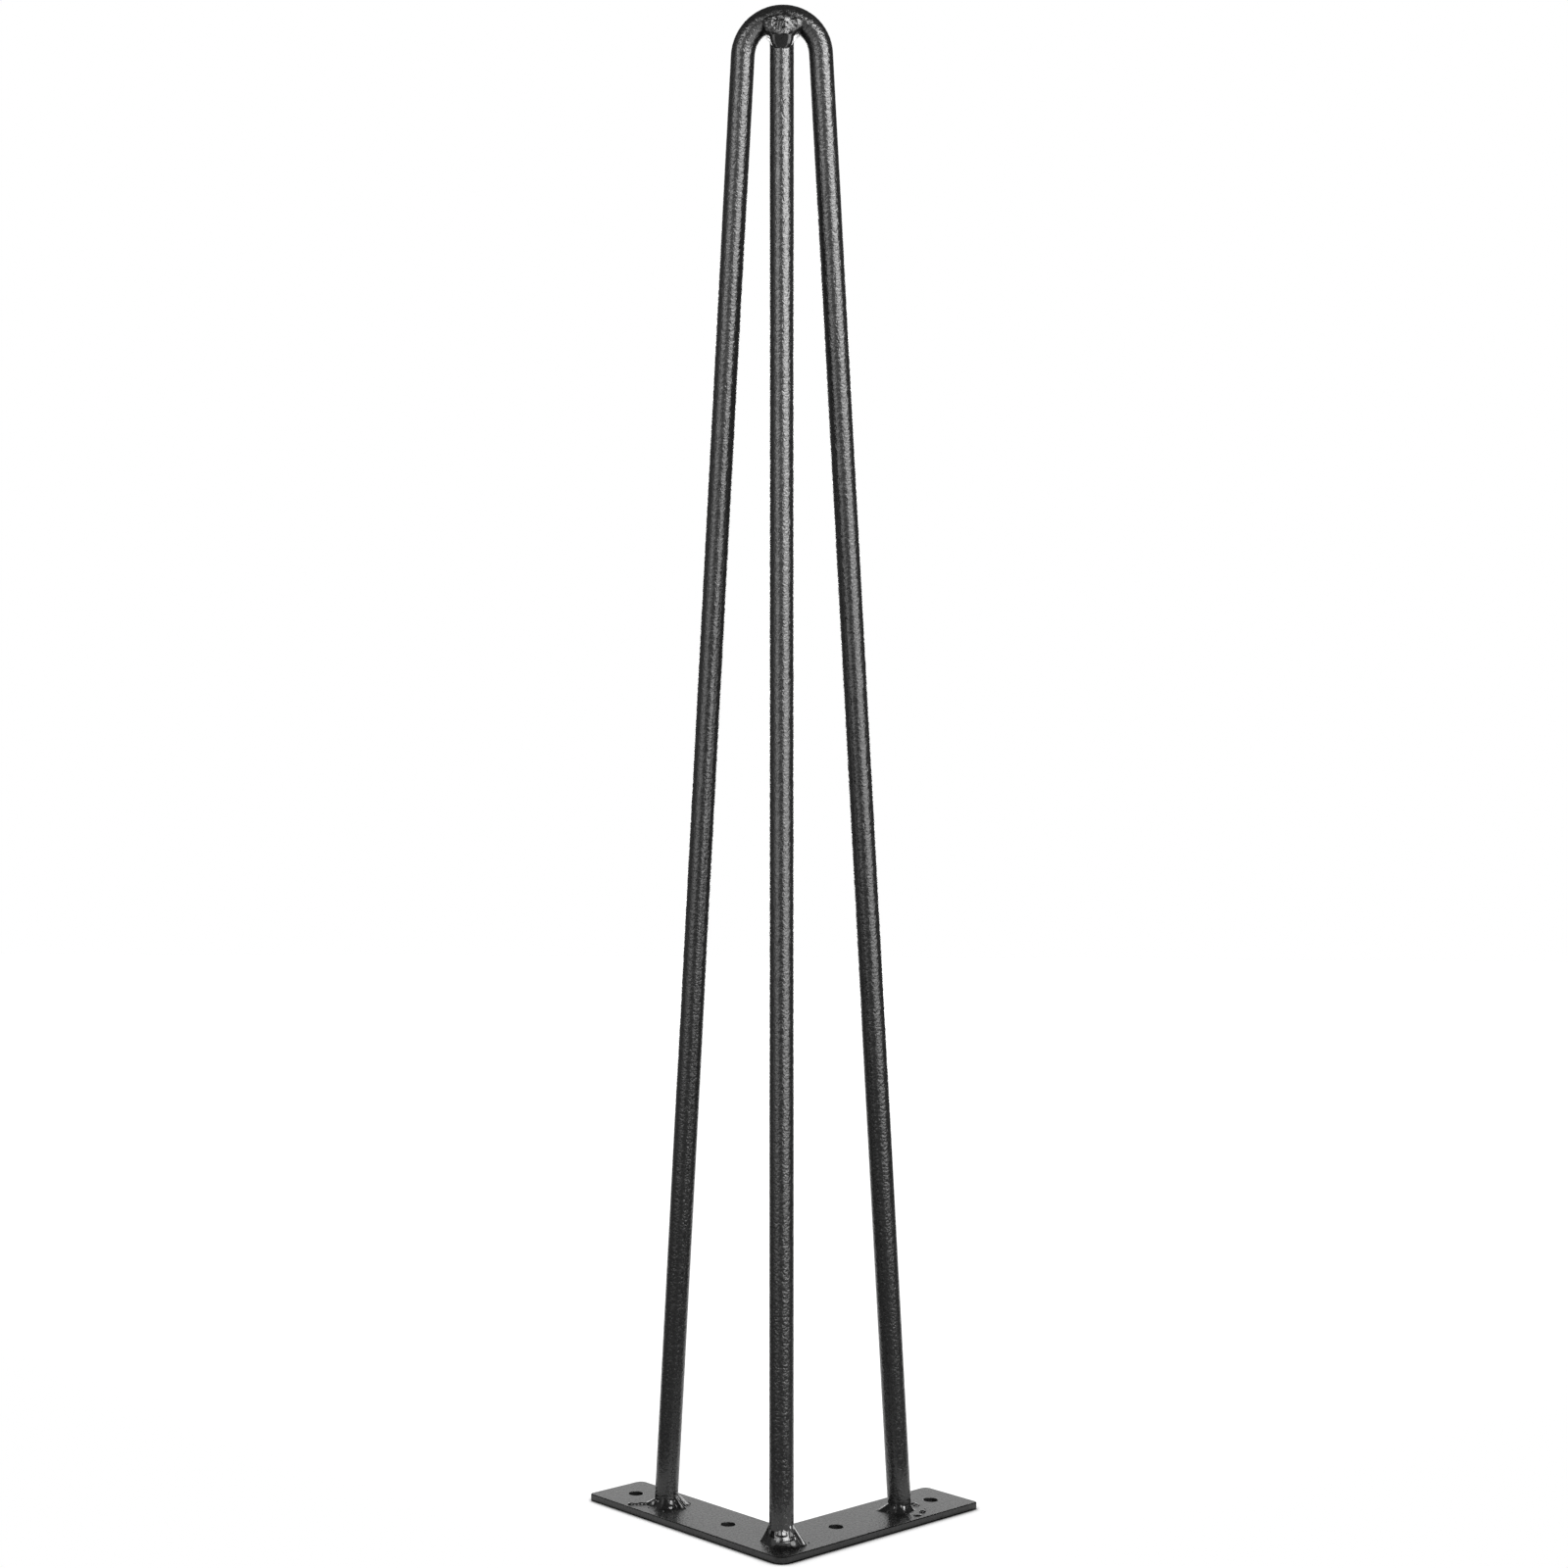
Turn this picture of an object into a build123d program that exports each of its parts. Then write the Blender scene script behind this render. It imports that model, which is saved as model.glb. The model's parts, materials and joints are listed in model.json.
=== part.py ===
from build123d import *
import math
import os

# Three-rod hairpin table leg, standing bend up on the plate that screws to a table top.
# One long rod is bent to a hairpin and stands on the two arms of a flat corner plate. A shorter
# rod rises from the plate's corner and stops under the bend. Weld metal joins the rods to the
# plate and to each other. Millimetres: +Z rises from the mounting face to the bend, +Y runs from
# the plate's outer corner to its open side, and the origin lies on the mounting face, in the
# middle of the overall box.

# Whole leg
leg_height = 762.0
rod_diameter = 12.0
bend_radius = 19.5          # centreline of the hairpin bend
apex_setback = 50.0         # plate's outer corner to the bend's crown, along the plate's diagonal

# Mounting plate: a flat L, its two arms at right angles
arm_length = 142.0          # outer corner to the end of an arm
arm_width = 36.0
plate_thickness = 3.5
outer_corner_radius = 6.0
tip_outer_radius = 1.5
tip_inner_radius = 4.0
throat_radius = 3.0         # inside corner of the L
edge_round = 0.5            # softened rim of both faces

# Places along each arm, on its centre line
hole_diameter = 7.5
end_hole_inset = 16.0       # arm's end to the outer screw hole
inner_hole_setback = 56.0   # outer corner to the inner screw hole
leg_inset = 39.5            # arm's end to the hairpin's leg

# Weld beads at the plate: a hollow flare of puddles round each rod, drawn out to one side where the
# weld was ended
leg_bead_height = 7.5
leg_bead_foot = 2.6         # reach on the plate past the rod
leg_stop_reach = 4.6        # further reach where the weld was ended
corner_bead_height = 10.5
corner_bead_foot = 4.0
corner_stop_reach = 1.6
stop_heading = -17.0        # where a bead is drawn out, in degrees from +X; the right leg's is mirrored
stop_sharpness = 6          # higher draws a bead out over a narrower angle
bead_toe = 0.4              # step where a bead ends on the rod
bead_hollow = 1.7           # power of the flare's curve: 1 is a straight cone, higher is more hollow
bead_sections = 5           # outlines from below the plate's face to the toe
bead_skirt = 0.3            # share of a bead's height that its form runs on below the plate's face
puddle_count = 9            # puddles round a bead
puddle_ripple = 0.2         # crests out and valleys in, as a share of the foot's reach

# Weld under the bend: it spreads along the bend, narrows to the corner rod and ends in a tongue on
# the rod's front and back
root_gap = 0.5              # square end of the corner rod to the bend, at its nearest
spread_rise = 2.0           # bend's centreline up to the level where the weld's form is buried
spread_drop = 3.5           # bend's centreline down to the level where the weld is widest
spread_reach = 3.6          # past the rod there, each side
spread_lip = 0.9            # over the front and the back of the bend there
crotch_fill = 2.9           # past the rod's sides at the level of its end
end_lip = 1.6               # over the front and the back of the rod's end
tongue_lip = 1.1            # over the front and the back of the rod, where its sides come clear
flank_length = 4.0          # rod's end to where the weld leaves the rod's sides
tongue_length = 8.0         # rod's end to the end of the weld on its front and back
tongue_taper = 1.4          # tongue's end, in from the rod's sides
weld_sink = 0.4             # ends of the weld's form, below the skins that they run out into
spread_corner_radius = 2.5  # rounding of the weld's form along the bend, seen along the rod
tongue_corner_radius = 4.5  # and along the corner rod

# Derived places
rod_radius = rod_diameter / 2
diagonal = math.sqrt(0.5)        # X or Y step for a unit step along an arm
corner_loss = math.sqrt(2) - 1   # rounding takes this much of its radius off a square corner
box_front = corner_loss * outer_corner_radius
box_back = (arm_length + arm_width) * diagonal - corner_loss * tip_inner_radius
corner_y = -(box_front + box_back) / 2
plate_top = Plane.XY.offset(plate_thickness)


def on_plate(along, across, side):
    """Point on the plate's upper face, along an arm from the outer corner and in from its edge."""
    x = side * (along - across) * diagonal
    y = corner_y + (along + across) * diagonal
    return Vector(x, y, plate_thickness)


right_base = on_plate(arm_length - leg_inset, arm_width / 2, 1)
left_base = on_plate(arm_length - leg_inset, arm_width / 2, -1)
corner_base = on_plate(arm_width / 2, arm_width / 2, 1)
apex = Vector(0, corner_y + apex_setback, leg_height - rod_radius)
corner_axis = (apex - corner_base).normalized()
rod_end_drop = bend_radius - math.sqrt((bend_radius - rod_radius) ** 2 - rod_radius**2) + root_gap


def make_plate():
    """Flat L with rounded corners and two screw holes in each arm."""
    outline = Polygon(
        (0, 0),
        (arm_length, 0),
        (arm_length, arm_width),
        (arm_width, arm_width),
        (arm_width, arm_length),
        (0, arm_length),
        align=None,
    )
    roundings = [
        ((0, 0), outer_corner_radius),
        ((arm_length, 0), tip_outer_radius),
        ((0, arm_length), tip_outer_radius),
        ((arm_length, arm_width), tip_inner_radius),
        ((arm_width, arm_length), tip_inner_radius),
        ((arm_width, arm_width), throat_radius),
    ]
    for (along, across), radius in roundings:
        corner = outline.vertices().sort_by_distance((along, across, 0))[0]
        outline = fillet(corner, radius)
    for along in (inner_hole_setback, arm_length - end_hole_inset):
        for place in (Pos(along, arm_width / 2), Pos(arm_width / 2, along)):
            outline -= place * Circle(hole_diameter / 2)
    plate = extrude(Pos(0, corner_y) * Rot(0, 0, 45) * outline, plate_thickness)
    faces = plate.faces().sort_by(Axis.Z)
    rims = faces[0].outer_wire().edges() + faces[-1].outer_wire().edges()
    return fillet(rims, edge_round)


def make_hairpin():
    """One rod: two straight legs that run tangent into the bend, with ends flush on the plate."""
    root = Vector(0, right_base.Y, plate_thickness)
    rise = apex - root
    lean = Plane(origin=root, x_dir=(1, 0, 0), z_dir=Vector(1, 0, 0).cross(rise))
    centre_height = rise.length - bend_radius
    reach = math.hypot(right_base.X, centre_height)
    turn_in = math.atan2(right_base.X, centre_height) + math.acos(bend_radius / reach)
    centre = lean.from_local_coords(Vector(0, centre_height, 0))
    tangent = lean.from_local_coords(
        Vector(bend_radius * math.sin(turn_in), centre_height - bend_radius * math.cos(turn_in), 0)
    )
    down = right_base - tangent
    section = Plane(origin=tangent, z_dir=down) * Circle(rod_radius)
    right_leg = extrude(section, down.length + rod_diameter)
    bend = revolve(section, Axis(centre, lean.z_dir), 360 - 2 * math.degrees(turn_in))
    rod = right_leg + bend + mirror(right_leg, about=Plane.YZ)
    return split(rod, bisect_by=plate_top, keep=Keep.TOP), down.normalized() * -1


def make_corner_rod():
    """Straight rod from the plate's corner, cut square just short of the bend's underside."""
    end = apex - corner_axis * rod_end_drop
    section = Plane(origin=end, z_dir=corner_axis * -1) * Circle(rod_radius)
    rod = extrude(section, (end - corner_base).length + rod_diameter)
    return split(rod, bisect_by=plate_top, keep=Keep.TOP)


def bead_point(half_puddles, foot_reach, stop_reach, level):
    """Point of a bead's outline: a crest at an even count of half puddles from the stop, else a valley."""
    turn = math.pi * half_puddles / puddle_count
    angle = math.radians(stop_heading) + turn
    ripple = puddle_ripple if half_puddles % 2 == 0 else -puddle_ripple
    drawn_out = stop_reach * max(0, math.cos(turn)) ** stop_sharpness
    flare = (foot_reach * (1 + ripple) + drawn_out) * (1 - level) ** bead_hollow
    radius = rod_radius + bead_toe + flare
    return (radius * math.cos(angle), radius * math.sin(angle))


def bead_outline(foot_reach, stop_reach, level):
    """Outline of a bead, one arc to a puddle, at a level from 0 on the plate to 1 at its toe."""
    arcs = []
    for crest in range(0, 2 * puddle_count, 2):
        points = [bead_point(crest + step, foot_reach, stop_reach, level) for step in (-1, 0, 1)]
        arcs.append(ThreePointArc(*points))
    return make_face(arcs)


def make_bead(base, axis, rod, foot_reach, height, stop_reach):
    """Weld bead round the foot of a rod that leans along axis, trimmed by the rod and the plate."""
    stand = Plane(origin=base, x_dir=Vector(0, 1, 0).cross(axis), z_dir=axis)
    outlines = []
    for index in range(bead_sections):
        level = (1 + bead_skirt) * index / (bead_sections - 1) - bead_skirt
        outline = bead_outline(foot_reach, stop_reach, level)
        outlines.append(stand.offset(level * height) * outline)
    return split(loft(outlines), bisect_by=plate_top, keep=Keep.TOP) - rod


def make_leg_bead():
    """Weld bead of the hairpin's left leg."""
    sizes = (leg_bead_foot, leg_bead_height, leg_stop_reach)
    return make_bead(left_base, left_axis, hairpin_rod, *sizes)


def make_corner_bead():
    """Weld bead of the corner rod."""
    sizes = (corner_bead_foot, corner_bead_height, corner_stop_reach)
    return make_bead(corner_base, corner_axis, corner_rod, *sizes)


def make_crown_weld():
    """Weld metal between the corner rod's end and the bend, proud of both in front and behind."""
    buried_depth = math.sqrt(rod_radius**2 - spread_rise**2) - weld_sink
    sections = [
        (-spread_rise, rod_radius, buried_depth, spread_corner_radius),
        (spread_drop, rod_radius + spread_reach, rod_radius + spread_lip, spread_corner_radius),
        (rod_end_drop, rod_radius + crotch_fill, rod_radius + end_lip, tongue_corner_radius),
        (rod_end_drop + flank_length, rod_radius, rod_radius + tongue_lip, tongue_corner_radius),
        (
            rod_end_drop + tongue_length,
            rod_radius - tongue_taper,
            rod_radius - weld_sink,
            tongue_corner_radius,
        ),
    ]
    outlines = []
    for drop, half_width, half_depth, corner_radius in sections:
        level = Plane(origin=apex - corner_axis * drop, x_dir=(1, 0, 0), z_dir=corner_axis)
        outlines.append(level * RectangleRounded(2 * half_width, 2 * half_depth, corner_radius))
    return loft(outlines) - hairpin_rod - corner_rod


def make_weld_beads():
    """All the weld metal: four separate solids."""
    left_bead = make_leg_bead()
    right_bead = mirror(left_bead, about=Plane.YZ)
    welds = (left_bead, right_bead, make_corner_bead(), make_crown_weld())
    return Compound([weld.solid() for weld in welds])


hairpin_rod, right_axis = make_hairpin()
left_axis = Vector(-right_axis.X, right_axis.Y, right_axis.Z)
corner_rod = make_corner_rod()

parts = {
    "mounting_plate": make_plate(),
    "hairpin_rod": hairpin_rod,
    "corner_rod": corner_rod,
    "weld_beads": make_weld_beads(),
}

os.makedirs("parts", exist_ok=True)
for name, shape in parts.items():
    export_step(shape, f"parts/{name}.step")
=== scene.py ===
"""Hairpin table leg in black powder coat: bent rods, corner plate and weld metal, in a small studio."""

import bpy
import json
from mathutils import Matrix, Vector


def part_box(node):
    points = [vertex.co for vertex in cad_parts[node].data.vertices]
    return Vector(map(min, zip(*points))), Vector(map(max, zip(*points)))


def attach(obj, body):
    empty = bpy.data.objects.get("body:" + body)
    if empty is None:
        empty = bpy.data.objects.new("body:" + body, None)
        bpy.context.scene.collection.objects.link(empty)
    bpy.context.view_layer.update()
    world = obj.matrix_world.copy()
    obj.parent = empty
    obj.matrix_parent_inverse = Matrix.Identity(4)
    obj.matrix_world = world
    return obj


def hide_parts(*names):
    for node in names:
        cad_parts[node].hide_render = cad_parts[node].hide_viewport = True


bl_info = {
    "name": "Hairpin Table Leg",
    "version": (1, 0, 0),
    "blender": (4, 5, 0),
    "location": "View3D > Sidebar > Hairpin Leg",
    "description": "Models and finishes a welded three-rod table leg and sets up its studio",
    "category": "Object",
}

import json
import math
import random

import bmesh
import bpy
from bpy.props import FloatProperty, FloatVectorProperty, IntProperty, PointerProperty
from mathutils import Matrix, Vector, noise

MM = 0.001
WHITE = (1, 1, 1, 1)
DIAGONAL = math.sqrt(0.5)        # X or Y step for a unit step along an arm of the plate
CORNER_LOSS = math.sqrt(2) - 1   # rounding takes this much of its radius off a square corner

# Places and sizes that the frame gives
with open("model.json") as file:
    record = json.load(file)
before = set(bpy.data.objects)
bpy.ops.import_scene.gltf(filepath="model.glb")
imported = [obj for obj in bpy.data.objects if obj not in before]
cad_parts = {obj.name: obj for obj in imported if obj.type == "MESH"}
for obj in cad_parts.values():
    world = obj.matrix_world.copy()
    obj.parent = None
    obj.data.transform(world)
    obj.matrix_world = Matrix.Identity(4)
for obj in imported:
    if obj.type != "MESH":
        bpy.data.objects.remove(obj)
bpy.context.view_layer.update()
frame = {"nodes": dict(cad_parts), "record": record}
MOUNTS = {mount["name"]: mount for mount in frame["record"]["mounts"]}
PLATE_LOW, PLATE_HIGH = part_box("mounting_plate")
PLATE_TOP = PLATE_HIGH[2]
ROD_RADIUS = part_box("corner_rod")[1][0]
ROD_OVERRUN = 0.2 * ROD_RADIUS   # rods run on below the plate's face, and their ends are made flush
APEX = Vector(MOUNTS["floor_end"]["pos_m"]) - Vector((0, 0, ROD_RADIUS))


def rod_foot(node, side):
    """Middle of a rod's end on the plate: side is -1 for the left leg, 1 for the right and 0 for either."""
    tolerance = 0.01 * MM
    on_plate = [v.co for v in frame["nodes"][node].data.vertices if v.co.z < PLATE_TOP + tolerance]
    ring = [co for co in on_plate if co.x * side >= 0]
    middle = [(min(co[axis] for co in ring) + max(co[axis] for co in ring)) / 2 for axis in (0, 1)]
    return Vector((*middle, PLATE_TOP))


LEFT_FOOT = rod_foot("hairpin_rod", -1)
RIGHT_FOOT = rod_foot("hairpin_rod", 1)
CORNER_FOOT = rod_foot("corner_rod", 0)
CORNER_AXIS = (APEX - CORNER_FOOT).normalized()


def to_linear(hex_colour):
    """Linear colour of an sRGB hex value."""
    channels = [int(hex_colour[place:place + 2], 16) / 255 for place in (1, 3, 5)]
    return [c / 12.92 if c <= 0.04045 else ((c + 0.055) / 1.055) ** 2.4 for c in channels]


def length_property(name, description, millimetres):
    """Property that holds a length, with its default in millimetres."""
    return FloatProperty(name=name, description=description, default=millimetres * MM, unit="LENGTH")


def colour_property(name, description, hex_colour):
    """Property that holds a colour, with its default as an sRGB hex value."""
    return FloatVectorProperty(
        name=name, description=description, default=to_linear(hex_colour), subtype="COLOR"
    )


class RodSizes(bpy.types.PropertyGroup):
    """Sizes of the two rods."""

    bend_radius: length_property("Bend Radius", "Radius of the hairpin bend's centreline", 19.5)
    bend_steps: IntProperty(
        name="Bend Steps", description="Straight steps that the bend is laid out in", default=96, min=12
    )
    facets: IntProperty(name="Facets", description="Facets round a rod", default=48, min=12)
    ring_spacing: length_property("Ring Spacing", "Length of rod from one ring of vertices to the next", 2)
    waviness: length_property("Waviness", "Height of the rolled bar's unevenness", 0.05)
    wave_length: length_property("Wave Length", "Length of the rolled bar's unevenness", 9)


class PlateSizes(bpy.types.PropertyGroup):
    """Roundings of the corner plate."""

    outer_corner: length_property("Outer Corner", "Rounding of the L's corner", 6)
    tip_outer: length_property("Tip, Outer", "Rounding of an arm's outer tip", 1.5)
    tip_inner: length_property("Tip, Inner", "Rounding of an arm's inner tip", 4)
    throat: length_property("Throat", "Rounding of the L's inside corner", 3)
    edge_round: length_property("Edge", "Softening of the rims", 0.5)
    hole_round: length_property("Hole Edge", "Softening of the holes' rims", 0.2)


class WeldSizes(bpy.types.PropertyGroup):
    """Sizes of the weld metal."""

    leg_height: length_property("Leg Bead Height", "Height on the hairpin's legs", 3.2)
    leg_reach: length_property("Leg Bead Reach", "Reach on the plate past a leg", 1.6)
    leg_hollow: FloatProperty(
        name="Leg Bead Hollow", description="Power of a leg bead's flare: 1 is a straight cone", default=1.25
    )
    leg_unevenness: length_property(
        "Leg Bead Unevenness", "Height of the lumps laid round a leg bead", 0.044
    )
    corner_height: length_property("Corner Bead Height", "Height on the corner rod", 10.6)
    corner_reach: length_property("Corner Bead Reach", "Reach on the plate past the corner rod", 4.2)
    corner_hollow: FloatProperty(
        name="Corner Bead Hollow",
        description="Power of the corner bead's flare: 1 is a straight cone",
        default=1.6,
    )
    corner_unevenness: length_property(
        "Corner Bead Unevenness", "Height of the lumps laid round the corner bead", 0.055
    )
    burial: length_property("Burial", "Depth of a bead's edges below the skins of rod and plate", 0.5)
    ripple_rise: length_property("Ripple Rise", "Height of the ripples that the weld pool left", 0.01)
    hammer_depth: length_property(
        "Hammer Depth", "Depth of the hammered look of the weld under the bend", 0.2
    )


class CoatColours(bpy.types.PropertyGroup):
    """Colours of the powder coat."""

    plate: colour_property("Plate", "Coat on the plate", "#141414")
    rods: colour_property("Rods", "Coat on the rods", "#121212")
    welds: colour_property("Welds", "Coat on the weld metal", "#121212")


class StudioSizes(bpy.types.PropertyGroup):
    """Camera, lamps and the room's light."""

    camera_place: FloatVectorProperty(
        name="Camera",
        description="Place of the camera",
        subtype="TRANSLATION",
        unit="LENGTH",
        default=(9.58 * MM, -1231.27 * MM, 373.77 * MM),
    )
    camera_turn: FloatProperty(
        name="Camera Turn", description="Turn of the camera to the left", default=0.0746, unit="ROTATION"
    )
    lens: FloatProperty(name="Lens", description="Focal length", default=55.98, unit="CAMERA")
    shift: FloatProperty(name="Shift", description="Sideways shift of the lens", default=0.1053)
    key_light: FloatProperty(
        name="Key", description="Brightness of the right softbox, where white is 1", default=20.0
    )
    fill_light: FloatProperty(
        name="Fill", description="Brightness of the left softbox, where white is 1", default=8.0
    )
    back_light: FloatProperty(
        name="Back", description="Brightness of the two softboxes behind, where white is 1", default=5.0
    )
    room_light: FloatProperty(
        name="Room Light", description="Light that the room throws on the object", default=0.3
    )


class LegSettings(bpy.types.PropertyGroup):
    """Everything a user would change."""

    rods: PointerProperty(name="Rods", description="Sizes of the rods", type=RodSizes)
    plate: PointerProperty(name="Plate", description="Roundings of the plate", type=PlateSizes)
    welds: PointerProperty(name="Welds", description="Sizes of the weld metal", type=WeldSizes)
    coats: PointerProperty(name="Coats", description="Colours of the powder coat", type=CoatColours)
    studio: PointerProperty(name="Studio", description="Camera and light", type=StudioSizes)


def add_node(tree, kind, inputs=None, **settings):
    """Adds a node, sets it up, and gives its inputs values or other nodes' outputs."""
    node = tree.nodes.new(kind)
    for name, value in settings.items():
        setattr(node, name, value)
    for key, value in (inputs or {}).items():
        if isinstance(value, bpy.types.NodeSocket):
            tree.links.new(value, node.inputs[key])
        else:
            node.inputs[key].default_value = value
    return node


def new_material(name):
    """An empty material and its node tree."""
    material = bpy.data.materials.new(name)
    material.use_nodes = True
    material.node_tree.nodes.clear()
    return material, material.node_tree


def powder_coat(name, colour, roughness, grain, grain_rise, peel, peel_rise):
    """Sprayed and baked polyester powder: a black skin whose fine grain breaks highlights into specks.

    Grain and peel are the sizes of the specks and of the slow orange-peel waves, each with its rise.
    The grain is drawn coarser than the real powder's, which would be too fine to show in a picture.
    """
    if name in bpy.data.materials:
        return bpy.data.materials[name]
    patch = 8 * grain          # cloudy patches of darker and lighter coat
    patch_swing = 0.2
    glossier = 0.06            # the specks' hollows shine more than their tops
    duller = 0.12
    speck_band = (0.35, 0.65)  # noise between which the gloss changes
    material, tree = new_material(name)
    place = add_node(tree, "ShaderNodeTexCoord").outputs["Object"]
    specks = add_node(
        tree, "ShaderNodeTexNoise", {"Vector": place, "Scale": 1 / grain, "Detail": 1.0, "Roughness": 0.6}
    )
    waves = add_node(
        tree, "ShaderNodeTexNoise", {"Vector": place, "Scale": 1 / peel, "Detail": 1.0, "Roughness": 0.5}
    )
    clouds = add_node(tree, "ShaderNodeTexNoise", {"Vector": place, "Scale": 1 / patch, "Detail": 3.0})
    slow = add_node(
        tree,
        "ShaderNodeBump",
        {"Strength": 1.0, "Distance": peel_rise, "Height": waves.outputs["Fac"]},
    )
    fine = add_node(
        tree,
        "ShaderNodeBump",
        {
            "Strength": 1.0,
            "Distance": grain_rise,
            "Height": specks.outputs["Fac"],
            "Normal": slow.outputs["Normal"],
        },
    )
    gloss = add_node(
        tree,
        "ShaderNodeMapRange",
        {
            "Value": specks.outputs["Fac"],
            "From Min": speck_band[0],
            "From Max": speck_band[1],
            "To Min": roughness - glossier,
            "To Max": roughness + duller,
        },
    )
    tint = add_node(
        tree,
        "ShaderNodeMix",
        {
            "Factor": clouds.outputs["Fac"],
            "A": (*[(1 - patch_swing) * c for c in colour], 1),
            "B": (*[(1 + patch_swing) * c for c in colour], 1),
        },
        data_type="RGBA",
    )
    shader = add_node(
        tree,
        "ShaderNodeBsdfPrincipled",
        {
            "Base Color": tint.outputs["Result"],
            "Roughness": gloss.outputs["Result"],
            "IOR": 1.5,
            "Normal": fine.outputs["Normal"],
        },
    )
    add_node(tree, "ShaderNodeOutputMaterial", {"Surface": shader.outputs["BSDF"]})
    return material


def plate_coat():
    """Powder on flat steel: it flows out to an even satin."""
    return powder_coat(
        "powder_coat_flat",
        bpy.context.scene.hairpin_leg.coats.plate,
        roughness=0.25,
        grain=1.2 * MM,
        grain_rise=0.13 * MM,
        peel=4 * MM,
        peel_rise=0.03 * MM,
    )


def rod_coat():
    """Powder on round bar: thinner and coarser, so the grain shows in the long highlights."""
    return powder_coat(
        "powder_coat_rod",
        bpy.context.scene.hairpin_leg.coats.rods,
        roughness=0.21,
        grain=1.3 * MM,
        grain_rise=0.26 * MM,
        peel=5 * MM,
        peel_rise=0.06 * MM,
    )


def weld_coat():
    """Powder pooled over weld metal: glossier, with little grain."""
    return powder_coat(
        "powder_coat_weld",
        bpy.context.scene.hairpin_leg.coats.welds,
        roughness=0.09,
        grain=1.0 * MM,
        grain_rise=0.015 * MM,
        peel=2.5 * MM,
        peel_rise=0.03 * MM,
    )


def hammered_coat():
    """Powder over the rough weld under the bend: dull and grainy, so it looks hammered."""
    return powder_coat(
        "powder_coat_hammered",
        bpy.context.scene.hairpin_leg.coats.welds,
        roughness=0.18,
        grain=1.6 * MM,
        grain_rise=0.32 * MM,
        peel=3 * MM,
        peel_rise=0.1 * MM,
    )


def add_piece(name, mesh, slot, *nodes):
    """Links a mesh as a piece of the object that stands for CAD nodes, and hides those nodes; the slot is
    not used.
    """
    piece = bpy.data.objects.new(name, mesh)
    bpy.context.scene.collection.objects.link(piece)
    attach(piece, "root")
    if nodes:
        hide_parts(*nodes)
    return piece


def run_tree(tree, source, values):
    """Runs a node tree over a mesh and returns the outcome as a plain mesh."""
    carrier = bpy.data.objects.new(tree.name, source)
    bpy.context.scene.collection.objects.link(carrier)
    modifier = carrier.modifiers.new(tree.name, "NODES")
    modifier.node_group = tree
    for item in tree.interface.items_tree:
        if item.in_out == "INPUT" and item.name in values:
            modifier[item.identifier] = values[item.name]
    evaluated = carrier.evaluated_get(bpy.context.evaluated_depsgraph_get())
    mesh = bpy.data.meshes.new_from_object(evaluated)
    carrier.modifiers.remove(modifier)
    bpy.data.objects.remove(carrier)
    return mesh


def new_tree(name, sockets):
    """A geometry tree with named inputs, and its input and output nodes."""
    tree = bpy.data.node_groups.new(name, "GeometryNodeTree")
    tree.interface.new_socket("Geometry", in_out="INPUT", socket_type="NodeSocketGeometry")
    for label, kind in sockets:
        tree.interface.new_socket(label, in_out="INPUT", socket_type=kind)
    tree.interface.new_socket("Geometry", in_out="OUTPUT", socket_type="NodeSocketGeometry")
    return tree, tree.nodes.new("NodeGroupInput").outputs, tree.nodes.new("NodeGroupOutput").inputs


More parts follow.
